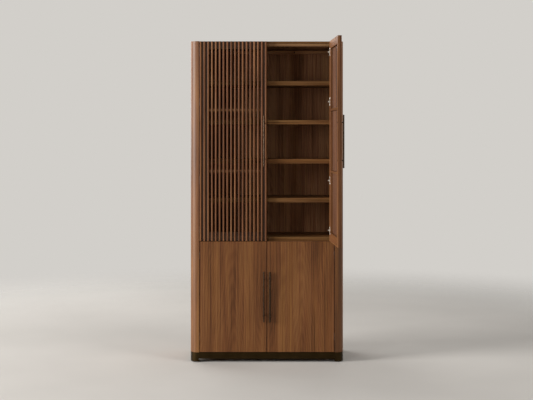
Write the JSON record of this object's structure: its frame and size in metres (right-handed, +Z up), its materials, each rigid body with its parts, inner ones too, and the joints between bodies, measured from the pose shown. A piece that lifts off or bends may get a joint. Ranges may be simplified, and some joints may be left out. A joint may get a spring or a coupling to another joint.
{
  "type": "tall storage cabinet",
  "caption": "Tall walnut cabinet with rounded front corners, slatted upper doors over plain lower doors, open shelving inside, bar handles and a dark metal plinth.",
  "frame": {"origin": "on the floor, midway across, in the plane of the closed doors' fronts", "axes": "+X to the cabinet's right as seen from the front, +Y from front to back, +Z up"},
  "size_m": [1.0668, 0.9167, 2.2352],
  "materials": {
    "walnut": "satin oiled",
    "walnut_slatwork": "satin oiled",
    "walnut_inside": "satin oiled",
    "plywood": "raw",
    "dark_bronze": "satin patinated",
    "handle_bronze": "satin patinated",
    "nickel": "nickel plated",
    "glide_plastic": "matt",
    "bumper_rubber": "translucent matt"
  },
  "bodies": {
    "carcass": {"corner_post_left": "walnut", "corner_post_right": "walnut", "end_panel_left": "walnut", "end_panel_right": "walnut", "carcass_side_left": "walnut_inside", "carcass_side_right": "walnut_inside", "end_battens_left": "plywood", "end_battens_right": "plywood", "top_panel": "walnut", "carcass_top": "walnut_inside", "middle_deck": "walnut_inside", "bottom_deck": "walnut_inside", "back_panel_upper": "walnut_inside", "back_panel_lower": "walnut_inside", "rear_top_rail": "walnut_inside", "upper_shelf_1": "walnut_inside", "upper_shelf_2": "walnut_inside", "upper_shelf_3": "walnut_inside", "upper_shelf_4": "walnut_inside", "lower_shelf": "walnut_inside", "shelf_pins": "nickel", "door_bumpers": "bumper_rubber", "base_apron_front": "dark_bronze", "base_apron_rear": "dark_bronze", "base_apron_left": "dark_bronze", "base_apron_right": "dark_bronze", "base_feet": "dark_bronze", "floor_glides": "glide_plastic", "base_screws": "nickel", "hinge_plates": "nickel", "hinge_arms": "nickel"},
    "upper_left_door": {"upper_left_hinge_stile": "walnut_slatwork", "upper_left_lock_stile": "walnut_slatwork", "upper_left_top_rail": "walnut_slatwork", "upper_left_bottom_rail": "walnut_slatwork", "upper_left_cross_rails": "walnut_slatwork", "upper_left_slats": "walnut_slatwork", "upper_left_handle": "handle_bronze", "upper_left_hinge_cups": "nickel"},
    "upper_right_door": {"upper_right_hinge_stile": "walnut_slatwork", "upper_right_lock_stile": "walnut_slatwork", "upper_right_top_rail": "walnut_slatwork", "upper_right_bottom_rail": "walnut_slatwork", "upper_right_cross_rails": "walnut_slatwork", "upper_right_slats": "walnut_slatwork", "upper_right_handle": "handle_bronze", "upper_right_hinge_cups": "nickel"},
    "lower_left_door": {"lower_left_panel": "walnut", "lower_left_handle": "handle_bronze", "lower_left_hinge_cups": "nickel"},
    "lower_right_door": {"lower_right_panel": "walnut", "lower_right_handle": "handle_bronze", "lower_right_hinge_cups": "nickel"},
    "upper_left_links": {"upper_left_hinge_links": "nickel"},
    "upper_right_links": {"upper_right_hinge_links": "nickel"},
    "lower_left_links": {"lower_left_hinge_links": "nickel"},
    "lower_right_links": {"lower_right_hinge_links": "nickel"}
  },
  "joints": [
    {"name": "upper_left_door_hinge", "type": "hinge", "parent": "carcass", "child": "upper_left_door", "pos_m": [-0.4614, 0.0005, 1.539], "axis": [0, 0, -1], "range_deg": [0, 93.5]},
    {"name": "upper_right_door_hinge", "type": "hinge", "parent": "carcass", "child": "upper_right_door", "pos_m": [0.4614, 0.0005, 1.539], "axis": [0, 0, 1], "range_deg": [-93.5, 0]},
    {"name": "lower_left_door_hinge", "type": "hinge", "parent": "carcass", "child": "lower_left_door", "pos_m": [-0.4614, 0.0005, 0.45525], "axis": [0, 0, -1], "range_deg": [0, 93.5]},
    {"name": "lower_right_door_hinge", "type": "hinge", "parent": "carcass", "child": "lower_right_door", "pos_m": [0.4614, 0.0005, 0.45525], "axis": [0, 0, 1], "range_deg": [0, 93.5]},
    {"name": "upper_left_link_turn", "type": "hinge", "parent": "carcass", "child": "upper_left_links", "pos_m": [-0.4494, 0.033, 1.539], "axis": [0, 0, -1], "range_deg": [0, 93.5]},
    {"name": "upper_right_link_turn", "type": "hinge", "parent": "carcass", "child": "upper_right_links", "pos_m": [0.4494, 0.033, 1.539], "axis": [0, 0, 1], "range_deg": [-93.5, 0]},
    {"name": "lower_left_link_turn", "type": "hinge", "parent": "carcass", "child": "lower_left_links", "pos_m": [-0.4494, 0.033, 0.45525], "axis": [0, 0, -1], "range_deg": [0, 93.5]},
    {"name": "lower_right_link_turn", "type": "hinge", "parent": "carcass", "child": "lower_right_links", "pos_m": [0.4494, 0.033, 0.45525], "axis": [0, 0, 1], "range_deg": [0, 93.5]}
  ],
  "couplings": [
    {"joint": "upper_left_link_turn", "follows": "upper_left_door_hinge", "ratio": 1},
    {"joint": "upper_right_link_turn", "follows": "upper_right_door_hinge", "ratio": 1},
    {"joint": "lower_left_link_turn", "follows": "lower_left_door_hinge", "ratio": 1},
    {"joint": "lower_right_link_turn", "follows": "lower_right_door_hinge", "ratio": 1}
  ]
}
